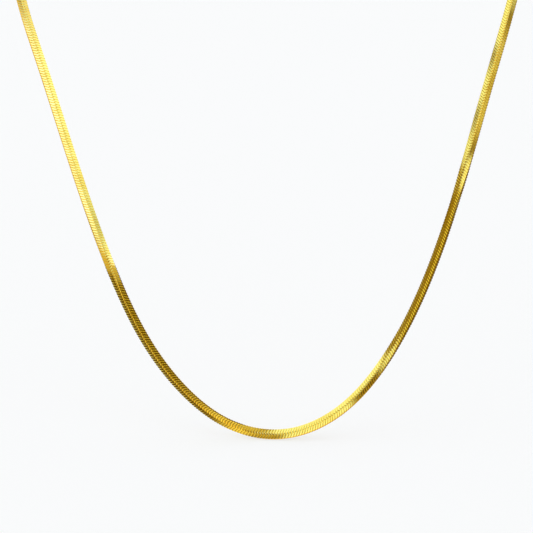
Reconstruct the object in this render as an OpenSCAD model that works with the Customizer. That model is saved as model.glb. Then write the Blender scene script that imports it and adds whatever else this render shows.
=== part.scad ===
/* [Woven band] */
// Width of the band, across its face
band_w = 2; // [1.6:0.1:2.4]
// Thickness of the band at the middle of its face
band_t = 0.8; // [0.7:0.05:0.9]

/* [End caps] */
// Wall of a cap round the band
cap_wall = 0.25; // [0.2:0.05:0.4]
// Depth of the pocket that holds the band's end
cap_pocket = 3.2; // [2:0.2:4]

/* [Loops and clasp] */
// Wire of the small soldered loops
loop_wire = 0.6; // [0.6:0.1:0.7]
// Outside diameter of the small soldered loops
loop_d = 2.8; // [2.7:0.1:2.9]
// Wire of the clasp's ring
ring_wire = 1.2; // [1:0.1:1.2]
// Outside diameter of the clasp's ring
ring_d = 6.4; // [6.2:0.1:6.6]

/* [Hidden] */
$fn = 48;

// Clear space between a cap and the band in it, and between linked wires
gap = 0.1;
// How deep one soldered piece runs into the next
solder = 0.3;

// The necklace hangs from the nape, the origin: X to its wearer's left, Z up, Y to the wearer's back.
// The side runs from the clasp round the neck on +X, and its mirror image starts the band. A row holds
// x, y and z, in millimetres from the middle of the clasp, then the compass turn of the band's face,
// 0 forwards and 90 towards X, and its upward tilt, in degrees.
side = [
    [6, 0, 0, 180, 0],
    [17.5, 0, 0, 180, 0],
    [28.5, -4, 0, 165, 4],
    [37.5, -10.5, 0, 146, 8],
    [45, -18.5, -0.5, 126, 12],
    [50, -27.5, -1, 108, 16],
    [53, -37.5, -2, 86, 20],
    [54, -48, -4, 64, 22],
    [54, -58, -7.5, 40, 22],
    [53, -67.5, -13, 18, 20],
    [51, -75.5, -20.5, 2, 20]
];
// The front is the U that hangs on the chest, from -X to +X. A row holds x and z, in millimetres, then
// how far the band's face is rolled towards the inside of the U, in degrees, at the row and halfway on.
front = [
    [-48.2, -30.5, 21, 21],
    [-43.9, -41.2, 21, 23],
    [-40, -52, 22, 22],
    [-36.1, -62.8, 20, 24],
    [-32.1, -73.5, 32, 18],
    [-27.6, -84.2, -20, -20],
    [-22.3, -94.6, -21, -22],
    [-15.1, -103.9, -23, -22],
    [-5.5, -111.4, -18, 2],
    [6.6, -113.1, 22, 22],
    [17.5, -107.4, 25, 14],
    [25, -98.1, 25, 44],
    [30.6, -87.9, 45, 45],
    [34.9, -77.2, 45, 43],
    [38.4, -66.4, 52, 24],
    [41.4, -55.5, 12, 2],
    [44.3, -44.6, 13, -2],
    [47.5, -33.8, 10, 14]
];
// The U leans back as it rises, more and more with its height above its lowest row
front_low_y = -102;
front_low_z = -113;
front_lean = 0.15;
front_curve = 0.0012;
// Turn and tilt of a face in the front whose roll is 0
front_turn = 4;
front_tilt = 14;

// Rings on each step from row to row
rings_per_step = 4;

// Sizes of the caps, whose pocket clears the band all round
pocket_w = band_w + 2 * gap;
pocket_t = band_t + 2 * gap;
cap_w = pocket_w + 2 * cap_wall;
cap_t = pocket_t + 2 * cap_wall;
// The thickest metal at the nape is the caps, so the band's middle lies half a cap behind it
nape_y = cap_t / 2;

// Where things lie along X at the nape, with each link pulled up to its neighbour
loop_mid_r = (loop_d - loop_wire) / 2;
ring_mid_r = (ring_d - ring_wire) / 2;
eye_x = -(ring_d + loop_d) / 2 + solder;
right_reach = ring_mid_r + loop_mid_r - (ring_wire + loop_wire) / 2 - gap;
left_reach = 2 * loop_mid_r - loop_wire - gap - eye_x;
ring_x = (left_reach - right_reach) / 2;
loop_x = (left_reach + right_reach) / 2;
cap_x = loop_x + loop_d / 2 - solder;
band_x = side[0][0];
pocket_x = band_x - gap;

// Weights of four neighbouring rows on a uniform cubic B-spline, and of its slope
function weights(t) = [pow(1 - t, 3), 3 * pow(t, 3) - 6 * t * t + 4,
    -3 * pow(t, 3) + 3 * t * t + 3 * t + 1, pow(t, 3)] / 6;
function slopes(t) = [-pow(1 - t, 2), 3 * t * t - 4 * t, -3 * t * t + 2 * t + 1, t * t] / 2;
function blend(rows, i, w) = w[0] * rows[i] + w[1] * rows[i + 1] + w[2] * rows[i + 2] + w[3] * rows[i + 3];
function span_of(rows, u) = min(floor(u), len(rows) - 4);
function point_at(rows, u) = let (i = span_of(rows, u)) blend(rows, i, weights(u - i));
function along_at(rows, u) = let (i = span_of(rows, u)) unit(blend(rows, i, slopes(u - i)));
function unit(v) = v / norm(v);
// One phantom row past each end makes the curve start and stop at the rows' own ends
function with_ends(rows) =
    let (n = len(rows) - 1)
    concat([2 * rows[0] - rows[1]], rows, [2 * rows[n] - rows[n - 1]]);
// Rows with the mean of two neighbours put in between them
function with_halves(rows) =
    [for (i = [0:len(rows) - 1]) each i == 0 ? [rows[0]] : [(rows[i - 1] + rows[i]) / 2, rows[i]]];

// The path of the band's middle
last_side = len(side) - 1;
last_front = len(front) - 1;
function first_three(row) = [row[0], row[1], row[2]];
function mirrored(v) = [-v[0], v[1], v[2]];
function front_point(x, z) =
    let (h = z - front_low_z)
    [x, front_low_y + front_lean * h + front_curve * h * h, z];
path = with_ends(concat(
    [for (row = side) mirrored(first_three(row))],
    [for (row = front) front_point(row[0], row[1])],
    [for (i = [last_side:-1:0]) first_three(side[i])]
));
steps = len(path) - 3;
ring_count = rings_per_step * steps + 1;

// Where the band's face looks, at every half step of the path
function aim(turn, tilt) = [sin(turn) * cos(tilt), -cos(turn) * cos(tilt), sin(tilt)];
function front_look(i, half) =
    let (
        along = along_at(path, len(side) + i + half / 2),
        inward = unit(cross(aim(front_turn, front_tilt), along)),
        ahead = cross(along, inward),
        roll = front[i][2 + half]
    )
    cos(roll) * ahead + sin(roll) * inward;
side_looks = [for (row = side) aim(row[3], row[4])];
front_looks = [for (i = [0:last_front], half = [0, 1]) front_look(i, half)];
looks = with_ends(concat(
    with_halves([for (look = side_looks) mirrored(look)]),
    [(mirrored(side_looks[last_side]) + front_looks[0]) / 2],
    front_looks,
    with_halves([for (i = [last_side:-1:0]) side_looks[i]])
));

// A quarter of the band's section, flat in the middle, slightly domed, with round edges: shares of
// half its width across its face, and of half its thickness through it
quarter = [[1, 0], [0.95, 0.65], [0.8, 0.9], [0.4, 1]];
half = concat(quarter, [for (k = [3:-1:1]) [-quarter[k][0], quarter[k][1]]]);
section = [for (s = [1, -1], p = half) s * [p[0] * band_w, p[1] * band_t] / 2];
section_sides = len(section);

// One ring of points round the band, u steps along it
function ring(u) =
    let (
        here = point_at(path, u) + [0, nape_y, 0],
        along = along_at(path, u),
        look = point_at(looks, 2 * u),
        face = unit(look - (look * along) * along),
        edge = cross(along, face)
    )
    [for (p = section) here + p[0] * edge + p[1] * face];

module snake_chain() {
    rings = [for (r = [0:ring_count - 1]) ring(r / rings_per_step)];
    points = [for (r = rings) each r];
    n = section_sides;
    last = (ring_count - 1) * n;
    walls = [for (r = [0:ring_count - 2], k = [0:n - 1])
        let (a = r * n + k, b = r * n + (k + 1) % n)
        each [[a, a + n, b], [b, a + n, b + n]]];
    ends = [[for (k = [0:n - 1]) k], [for (k = [0:n - 1]) last + n - 1 - k]];
    color("gold") polyhedron(points, concat(walls, ends));
}

// A flat-sided oval with round ends, w long and t across, on the YZ plane and extruded along +X
module oval_bar(w, t, length) {
    rotate([90, 0, 90]) linear_extrude(length) {
        square([t, w - t], center = true);
        for (s = [-1, 1]) translate([0, s * (w - t) / 2]) circle(d = t);
    }
}

// A closed wire ring whose hole looks along Z
module wire_ring(outside, wire) {
    rotate_extrude() translate([(outside - wire) / 2, 0]) circle(d = wire);
}

module end_cap() {
    difference() {
        union() {
            translate([cap_x, 0, 0]) oval_bar(cap_w, cap_t, pocket_x + cap_pocket - cap_x);
            translate([loop_x, 0, 0]) wire_ring(loop_d, loop_wire);
        }
        translate([pocket_x, 0, 0]) oval_bar(pocket_w, pocket_t, cap_pocket + 1);
    }
}

module right_end_cap() {
    color("goldenrod") translate([0, nape_y, 0]) end_cap();
}

module left_end_cap() {
    color("goldenrod") translate([0, nape_y, 0]) mirror([1, 0, 0]) end_cap();
}

module clasp() {
    color("darkgoldenrod") translate([ring_x, nape_y, 0]) rotate([90, 0, 0]) {
        wire_ring(ring_d, ring_wire);
        translate([eye_x, 0, 0]) wire_ring(loop_d, loop_wire);
    }
}

snake_chain();
left_end_cap();
right_end_cap();
clasp();
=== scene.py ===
import bisect
import math
import random

import bmesh
import bpy
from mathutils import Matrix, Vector


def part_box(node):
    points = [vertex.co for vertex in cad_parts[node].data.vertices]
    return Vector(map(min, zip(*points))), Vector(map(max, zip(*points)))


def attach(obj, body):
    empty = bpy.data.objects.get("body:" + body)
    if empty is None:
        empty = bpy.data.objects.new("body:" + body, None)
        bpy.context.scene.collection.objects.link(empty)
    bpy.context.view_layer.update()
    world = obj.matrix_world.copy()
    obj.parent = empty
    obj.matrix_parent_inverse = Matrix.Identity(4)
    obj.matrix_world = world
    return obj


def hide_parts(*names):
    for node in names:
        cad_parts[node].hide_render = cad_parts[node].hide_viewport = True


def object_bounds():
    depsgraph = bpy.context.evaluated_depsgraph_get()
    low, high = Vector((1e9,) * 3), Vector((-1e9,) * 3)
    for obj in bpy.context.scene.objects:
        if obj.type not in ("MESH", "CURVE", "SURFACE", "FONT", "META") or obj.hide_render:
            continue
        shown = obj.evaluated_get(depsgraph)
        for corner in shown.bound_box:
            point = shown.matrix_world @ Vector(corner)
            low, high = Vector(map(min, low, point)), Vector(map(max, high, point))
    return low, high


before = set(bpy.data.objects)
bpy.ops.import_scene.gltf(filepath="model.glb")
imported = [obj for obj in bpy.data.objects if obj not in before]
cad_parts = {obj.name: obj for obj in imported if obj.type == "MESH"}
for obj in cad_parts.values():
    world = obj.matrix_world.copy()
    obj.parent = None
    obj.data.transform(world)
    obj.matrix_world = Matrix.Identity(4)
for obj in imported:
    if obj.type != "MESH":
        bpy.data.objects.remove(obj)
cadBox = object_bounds()
mm = 0.001
print("frame loaded")

# The camera looks at the middle of the U, a little from the wearer's left and from above.
cameraSettings = {
    "azimuth": 4,
    "elevation": 14,
    "distance": 0.48,
    "target": (0.0016, -0.0952, -0.0796),
    "widthSeen": 0.1045,  # the picture's width at the target
    "sensor": 36,
    "clip": (0.01, 20),
}


# A direction from its compass turn, 0 forwards and 90 towards +X, and its tilt up, in degrees
def direction(azimuth, elevation):
    a, e = math.radians(azimuth), math.radians(elevation)
    return Vector((math.sin(a) * math.cos(e), -math.cos(a) * math.cos(e), math.sin(e)))


def makeCamera(settings):
    data = bpy.data.cameras.new("camera")
    camera = bpy.data.objects.new("camera", data)
    bpy.context.collection.objects.link(camera)
    back = direction(settings["azimuth"], settings["elevation"])
    camera.location = Vector(settings["target"]) + back * settings["distance"]
    camera.rotation_euler = back.to_track_quat("Z", "Y").to_euler()
    data.sensor_width = settings["sensor"]
    data.lens = settings["sensor"] * settings["distance"] / settings["widthSeen"]
    data.clip_start, data.clip_end = settings["clip"]
    bpy.context.scene.camera = camera


makeCamera(cameraSettings)
print("camera made")


def toLinear(hexColour):
    parts = [int(hexColour[i:i + 2], 16) / 255 for i in (1, 3, 5)]
    return [c / 12.92 if c <= 0.04045 else ((c + 0.055) / 1.055) ** 2.4 for c in parts] + [1]


def addNode(tree, kind, settings=None, links=None):
    node = tree.nodes.new(kind)
    for name, value in (settings or {}).items():
        if isinstance(name, str) and hasattr(node, name):
            setattr(node, name, value)
        else:
            node.inputs[name].default_value = value
    for name, socket in (links or {}).items():
        tree.links.new(socket, node.inputs[name])
    return node


# The side of the route, from the clasp round the neck on +X: x, y and z in metres from the middle of
# the clasp, then the compass turn of the band's face and its upward tilt in degrees.
routeSide = [
    (0.006, 0, 0, 180, 0),
    (0.0175, 0, 0, 180, 0),
    (0.0285, -0.004, 0, 165, 4),
    (0.0375, -0.0105, 0, 146, 8),
    (0.045, -0.0185, -0.0005, 126, 12),
    (0.05, -0.0275, -0.001, 108, 16),
    (0.053, -0.0375, -0.002, 86, 20),
    (0.054, -0.048, -0.004, 64, 22),
    (0.054, -0.058, -0.0075, 40, 22),
    (0.053, -0.0675, -0.013, 18, 20),
    (0.051, -0.0755, -0.0205, 2, 20),
]
# The U in front, from -X to +X: x and z in metres, then how far the band's face is rolled towards the
# inside of the U, in degrees, at the row and halfway to the next.
routeFront = [
    (-0.0482, -0.0305, 21, 21),
    (-0.0439, -0.0412, 21, 23),
    (-0.04, -0.052, 22, 22),
    (-0.0361, -0.0628, 20, 24),
    (-0.0321, -0.0735, 32, 18),
    (-0.0276, -0.0842, -20, -20),
    (-0.0223, -0.0946, -21, -22),
    (-0.0151, -0.1039, -23, -22),
    (-0.0055, -0.1114, -18, 2),
    (0.0066, -0.1131, 22, 22),
    (0.0175, -0.1074, 25, 14),
    (0.025, -0.0981, 25, 44),
    (0.0306, -0.0879, 45, 45),
    (0.0349, -0.0772, 45, 43),
    (0.0384, -0.0664, 52, 24),
    (0.0414, -0.0555, 12, 2),
    (0.0443, -0.0446, 13, -2),
    (0.0475, -0.0338, 10, 14),
]
# The U leans back as it rises, more and more. Its face has this turn and tilt where its roll is 0.
frontShape = {"lowY": -0.102, "lowZ": -0.113, "lean": 0.15, "curve": 1.2, "turn": 4, "tilt": 14}
stationsPerStep = 120
slopeReach = 0.02  # how far each way along a step the band's direction is measured
claspLow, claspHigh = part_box("clasp")
napeY = (claspLow.y + claspHigh.y) / 2  # the band's middle lies this far behind the nape


# A point on the uniform cubic B-spline that follows the rows, u steps from row to row along it
def splineAt(rows, u):
    i = min(int(u), len(rows) - 4)
    t = u - i
    weights = ((1 - t) ** 3, 3 * t ** 3 - 6 * t * t + 4, -3 * t ** 3 + 3 * t * t + 3 * t + 1, t ** 3)
    return sum((row * w for row, w in zip(rows[i:i + 4], weights)), Vector((0, 0, 0))) / 6


def alongAt(rows, u):
    ahead = splineAt(rows, min(u + slopeReach, len(rows) - 3))
    return (ahead - splineAt(rows, max(u - slopeReach, 0))).normalized()


# One more row past each end makes the curve start and stop at the rows' own ends
def withEnds(rows):
    return [2 * rows[0] - rows[1]] + rows + [2 * rows[-1] - rows[-2]]


def withHalves(rows):
    halved = [rows[0]]
    for a, b in zip(rows, rows[1:]):
        halved += [(a + b) / 2, b]
    return halved


def makePath(s):
    rightSide = [Vector((x, y + napeY, z)) for x, y, z, _, _ in routeSide]
    leftSide = [Vector((-p.x, p.y, p.z)) for p in rightSide]
    front = []
    for x, z, _, _ in routeFront:
        height = z - s["lowZ"]
        front.append(Vector((x, s["lowY"] + s["lean"] * height + s["curve"] * height ** 2 + napeY, z)))
    return withEnds(leftSide + front + rightSide[::-1])


# Where the band's face looks, at every half step of the path
def makeLooks(path, s):
    rightSide = [direction(turn, tilt) for _, _, _, turn, tilt in routeSide[::-1]]
    leftSide = [direction(-turn, tilt) for _, _, _, turn, tilt in routeSide]
    level = direction(s["turn"], s["tilt"])
    front = []
    for k, row in enumerate(routeFront):
        for half, roll in enumerate(row[2:]):
            along = alongAt(path, len(leftSide) + k + half / 2)
            inward = level.cross(along).normalized()
            ahead = along.cross(inward)
            front.append(ahead * math.cos(math.radians(roll)) + inward * math.sin(math.radians(roll)))
    between = (leftSide[-1] + front[0]) / 2
    return withEnds(withHalves(leftSide) + [between] + front + withHalves(rightSide))


# Each station: its distance along the band, the middle of the band there, the way along it, the way
# its face looks, and the way to its edge
def makeStations():
    path = makePath(frontShape)
    looks = makeLooks(path, frontShape)
    count = (len(path) - 3) * stationsPerStep
    points = [splineAt(path, k / stationsPerStep) for k in range(count + 1)]
    stations = []
    distance = 0
    for k, point in enumerate(points):
        if k:
            distance += (point - points[k - 1]).length
        along = alongAt(path, k / stationsPerStep)
        look = splineAt(looks, 2 * k / stationsPerStep)
        face = (look - look.dot(along) * along).normalized()
        stations.append((distance, point, along, face, along.cross(face)))
    return stations


stations = makeStations()
distances = [station[0] for station in stations]
bandLength = distances[-1]
print("route made:", round(bandLength * 1000, 1), "mm of band")


def stationAt(distance):
    k = min(bisect.bisect_right(distances, distance), len(stations) - 1)
    a, b = stations[k - 1], stations[k]
    t = (distance - a[0]) / (b[0] - a[0])
    return [p.lerp(q, t) for p, q in zip(a[1:], b[1:])]


# The woven links show as close ribs. Each is a closed ring that slants across the band and kinks back
# along its middle.
linkSettings = {
    "pitch": 0.545 * mm,
    # half of the section, from its middle to its edge: across, height, lean along the band. The other
    # half is this one turned half round.
    "outline": [(0.0, 0.39 * mm, 0.0), (0.22 * mm, 0.385 * mm, 0.09 * mm),
                (0.92 * mm, 0.31 * mm, -0.31 * mm), (1.0 * mm, 0.0, -0.36 * mm)],
    # half of a rib's profile, from its crown down into the groove: share of the pitch, depth
    "profile": [(0.0, 0.0), (0.33, 0.004 * mm), (0.5, 0.1 * mm)],
    "crest": 1.08,  # the middle of a rib stands higher by this factor
    "middle": 0.01 * mm,  # points this near to the middle line belong to the crest
    "seed": 4,
}


def makeLink(s):
    half = s["outline"] + [(a, -h, y) for a, h, y in s["outline"][-2:0:-1]]
    ringPoints = half + [(-a, -h, -y) for a, h, y in half]
    wide, thick = s["outline"][-1][0], s["outline"][0][1]
    steps = [(-share, depth) for share, depth in s["profile"][::-1]] + s["profile"][1:]
    bm = bmesh.new()
    loop = bmesh.ops.create_circle(bm, segments=len(ringPoints), radius=wide)["verts"]
    for v, (a, h, y) in zip(loop, ringPoints):
        v.co = (a, y, h)
    loops = [list(bm.edges)]
    reached = 0
    squeezed = (1, 1, 1)
    for k, (share, depth) in enumerate(steps):
        if k:
            made = bmesh.ops.extrude_edge_only(bm, edges=loops[-1])["geom"]
            loop = [g for g in made if isinstance(g, bmesh.types.BMVert)]
            loops.append([g for g in made if isinstance(g, bmesh.types.BMEdge)])
        squeeze = ((wide - depth) / wide, 1, (thick - depth) / thick)
        bmesh.ops.scale(bm, verts=loop, vec=[new / old for new, old in zip(squeeze, squeezed)])
        bmesh.ops.translate(bm, verts=loop, vec=(0, (share - reached) * s["pitch"], 0))
        reached = share
        squeezed = squeeze
    for v in bm.verts:
        if v.co.xy.length < s["middle"]:
            v.co.z *= s["crest"]
    bmesh.ops.bridge_loops(bm, edges=loops[0] + loops[-1])
    bmesh.ops.recalc_face_normals(bm, faces=bm.faces)
    mesh = bpy.data.meshes.new("link")
    bm.to_mesh(mesh)
    bm.free()
    print("link faces", len(mesh.polygons))
    return mesh


# The links are laid out straight along Y by an array, then bent along the stations
def makeBand(s):
    link = bpy.data.objects.new("snake_chain_weave", makeLink(s))
    bpy.context.collection.objects.link(link)
    reach = -s["outline"][-1][2] + s["pitch"] / 2
    count = int((bandLength - 2 * reach) / s["pitch"])
    array = link.modifiers.new("array", "ARRAY")
    array.use_relative_offset = False
    array.use_constant_offset = True
    array.constant_offset_displace = (0, s["pitch"], 0)
    array.count = count
    evaluated = link.evaluated_get(bpy.context.evaluated_depsgraph_get())
    straight = bpy.data.meshes.new_from_object(evaluated)
    link.modifiers.clear()
    link.data = straight
    chance = random.Random(s["seed"])
    tones = [chance.random() for _ in range(count)]
    perLink = len(straight.vertices) // count
    tone = straight.attributes.new("linkTone", "FLOAT", "POINT")
    tone.data.foreach_set("value", [tones[k // perLink] for k in range(len(straight.vertices))])
    start = (bandLength - (count - 1) * s["pitch"]) / 2
    for v in straight.vertices:
        across, distance, height = v.co
        point, along, face, edge = stationAt(start + distance)
        v.co = point + edge * across + face * height
    bm = bmesh.new()
    bm.from_mesh(straight)
    bmesh.ops.recalc_face_normals(bm, faces=bm.faces)
    bm.to_mesh(straight)
    bm.free()
    print("band links:", count)
    return link


# Polished yellow gold plate over brass. It shines sharply, a little warmer and duller where the metal
# rubs, its tone shifts slightly from link to link, and fine polishing marks soften its highlights.
goldPlate = {
    "colour": "#FFE47F",
    "rubbed": "#F3CE5E",
    "patchSize": 4 * mm,
    "patchRange": (0.45, 0.75),  # the noise at which rubbing starts and is full
    "linkShare": 0.35,  # how much of the shift in tone goes link by link
    "roughness": (0.08, 0.14),
    "marksSize": 0.09 * mm,  # coarser than real polishing marks, so that they show
    "marksRange": (0.35, 0.7),
    "marksDepth": 0.0006 * mm,
}


def makeGold(name, s):
    material = bpy.data.materials.new(name)
    material.use_nodes = True
    tree = material.node_tree
    tree.nodes.clear()
    place = addNode(tree, "ShaderNodeTexCoord")
    patches = addNode(tree, "ShaderNodeTexNoise", {"Scale": 1 / s["patchSize"], "Detail": 3},
                      {"Vector": place.outputs["Object"]})
    rubbed = addNode(tree, "ShaderNodeMapRange", {
        "From Min": s["patchRange"][0], "From Max": s["patchRange"][1], "To Max": 1 - s["linkShare"]},
        {"Value": patches.outputs[0]})
    links = addNode(tree, "ShaderNodeAttribute", {"attribute_name": "linkTone"})
    tone = addNode(tree, "ShaderNodeMath", {"operation": "MULTIPLY_ADD", 1: s["linkShare"]},
                   {0: links.outputs["Fac"], 2: rubbed.outputs[0]})
    colour = addNode(tree, "ShaderNodeMix", {
        "data_type": "RGBA", 6: toLinear(s["colour"]), 7: toLinear(s["rubbed"])},
        {0: tone.outputs[0]})
    marks = addNode(tree, "ShaderNodeTexNoise", {
        "Scale": 1 / s["marksSize"], "Detail": 2, "Distortion": 1.5},
        {"Vector": place.outputs["Object"]})
    dull = addNode(tree, "ShaderNodeMapRange", {
        "From Min": s["marksRange"][0], "From Max": s["marksRange"][1],
        "To Min": s["roughness"][0], "To Max": s["roughness"][1]},
        {"Value": marks.outputs[0]})
    bump = addNode(tree, "ShaderNodeBump", {"Distance": s["marksDepth"]}, {"Height": marks.outputs[0]})
    shader = addNode(tree, "ShaderNodeBsdfPrincipled", {"Metallic": 1}, {
        "Base Color": colour.outputs[2], "Roughness": dull.outputs[0], "Normal": bump.outputs[0]})
    addNode(tree, "ShaderNodeOutputMaterial", links={"Surface": shader.outputs[0]})
    return material


gold = makeGold("polished gold plate", goldPlate)
band = makeBand(linkSettings)
band.data.materials.append(gold)
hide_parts("snake_chain")
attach(band, "root")
print("band made")

# The caps and the clasp are plated like the band. They have no links, so their tone shifts in patches.
for node in ("left_end_cap", "right_end_cap", "clasp"):
    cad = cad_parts[node]
    cad.data.materials.clear()
    cad.data.materials.append(gold)
print("caps and clasp plated")

# Opal acrylic, sanded matte and lit from below: an even white that still takes a faint soft shadow
floorSettings = {"half": 1.6, "colour": "#A6A6A6", "lit": 0.585, "roughness": 0.6, "specular": 0}


def makeFloor(s):
    bm = bmesh.new()
    bmesh.ops.create_grid(bm, x_segments=1, y_segments=1, size=s["half"])
    bmesh.ops.translate(bm, verts=bm.verts, vec=(0, 0, cadBox[0].z))
    mesh = bpy.data.meshes.new("floor")
    bm.to_mesh(mesh)
    bm.free()
    floor = bpy.data.objects.new("floor", mesh)
    bpy.context.collection.objects.link(floor)
    material = bpy.data.materials.new("sanded opal acrylic")
    material.use_nodes = True
    shader = material.node_tree.nodes["Principled BSDF"]
    shader.inputs["Base Color"].default_value = toLinear(s["colour"])
    shader.inputs["Roughness"].default_value = s["roughness"]
    shader.inputs["Specular IOR Level"].default_value = s["specular"]
    shader.inputs["Emission Color"].default_value = (1, 1, 1, 1)
    shader.inputs["Emission Strength"].default_value = s["lit"]
    mesh.materials.append(material)
    floor.visible_glossy = False


makeFloor(floorSettings)
print("floor laid")

back = direction(cameraSettings["azimuth"], cameraSettings["elevation"])
right = Vector((0, 0, 1)).cross(back).normalized()
up = back.cross(right)

# Soft lights, told by where they stand from the camera's direction, in degrees to the right and up.
# Each is even out to its first angle and has faded at its second. Only the metal sees them.
softLights = {
    "topLeft": {"right": -34, "up": 38, "even": 25, "faded": 33, "glow": 1.35, "colour": "#D9F3FF"},
    "topRight": {"right": 38, "up": 42, "even": 10, "faded": 30, "glow": 1.15, "colour": "#CCDDFF"},
    "overhead": {"right": 28, "up": 22, "even": 6, "faded": 14, "glow": 2.2, "colour": "#9CBAFF"},
    "right": {"right": 60, "up": 12, "even": 20, "faded": 25, "glow": 1.0, "colour": "#CCECFF"},
    "front": {"right": 15, "up": -3, "even": 5, "faded": 36, "glow": 0.58, "colour": "#F6F8C8"},
    "low": {"right": 7, "up": -45, "even": 22, "faded": 35, "glow": 1.0, "colour": "#FCF6B0"},
    "left": {"right": -100, "up": 20, "even": 30, "faded": 50, "glow": 0.14, "colour": "#FFE660"},
    "leftRim": {"right": -116, "up": -18, "even": 15, "faded": 28, "glow": 0.6, "colour": "#FFFFE8"},
    "rightRim": {"right": 73, "up": -29, "even": 12, "faded": 25, "glow": 0.05, "colour": "#FFE680"},
    "lowBack": {"right": -165, "up": -70, "even": 25, "faded": 60, "glow": 0.8, "colour": "#FFE890"},
    "backdrop": {"right": 180, "up": 28, "even": 20, "faded": 28, "glow": 0.9, "colour": "#FFFFFF"},
}
worldSettings = {
    "seen": "#FAFAFA",  # what the camera sees behind the necklace
    "diffuse": 0.98,  # how brightly the surroundings light the floor
    "dark": "#6A570C",  # what the metal mirrors between the lights
}


def fromCamera(degreesRight, degreesUp):
    r, u = math.radians(degreesRight), math.radians(degreesUp)
    return right * math.sin(r) * math.cos(u) + up * math.sin(u) + back * math.cos(r) * math.cos(u)


def addLight(tree, place, below, s):
    facing = addNode(tree, "ShaderNodeVectorMath", {"operation": "DOT_PRODUCT"},
                     {0: place.outputs["Generated"]})
    facing.inputs[1].default_value = fromCamera(s["right"], s["up"])
    share = addNode(tree, "ShaderNodeMapRange", {
        "interpolation_type": "SMOOTHSTEP",
        "From Min": math.cos(math.radians(s["faded"])), "From Max": math.cos(math.radians(s["even"]))},
        {"Value": facing.outputs["Value"]})
    lit = addNode(tree, "ShaderNodeVectorMath", {"operation": "MULTIPLY_ADD"},
                  {0: share.outputs[0], 2: below})
    lit.inputs[1].default_value = [c * s["glow"] for c in toLinear(s["colour"])[:3]]
    return lit.outputs[0]


def makeWorld(s):
    world = bpy.data.worlds.new("studio")
    bpy.context.scene.world = world
    world.use_nodes = True
    tree = world.node_tree
    tree.nodes.clear()
    place = addNode(tree, "ShaderNodeTexCoord")
    dark = addNode(tree, "ShaderNodeRGB")
    dark.outputs[0].default_value = toLinear(s["dark"])
    glossy = dark.outputs[0]
    for light in softLights.values():
        glossy = addLight(tree, place, glossy, light)
    path = addNode(tree, "ShaderNodeLightPath")
    forDiffuse = addNode(tree, "ShaderNodeMix", {"data_type": "RGBA"})
    tree.links.new(path.outputs["Is Diffuse Ray"], forDiffuse.inputs[0])
    tree.links.new(glossy, forDiffuse.inputs[6])
    forDiffuse.inputs[7].default_value = (s["diffuse"], s["diffuse"], s["diffuse"], 1)
    forCamera = addNode(tree, "ShaderNodeMix", {"data_type": "RGBA"})
    tree.links.new(path.outputs["Is Camera Ray"], forCamera.inputs[0])
    tree.links.new(forDiffuse.outputs[2], forCamera.inputs[6])
    forCamera.inputs[7].default_value = toLinear(s["seen"])
    shader = addNode(tree, "ShaderNodeBackground", links={"Color": forCamera.outputs[2]})
    addNode(tree, "ShaderNodeOutputWorld", links={"Surface": shader.outputs[0]})


makeWorld(worldSettings)
bpy.context.scene.view_settings.view_transform = "Standard"
print("lights set")
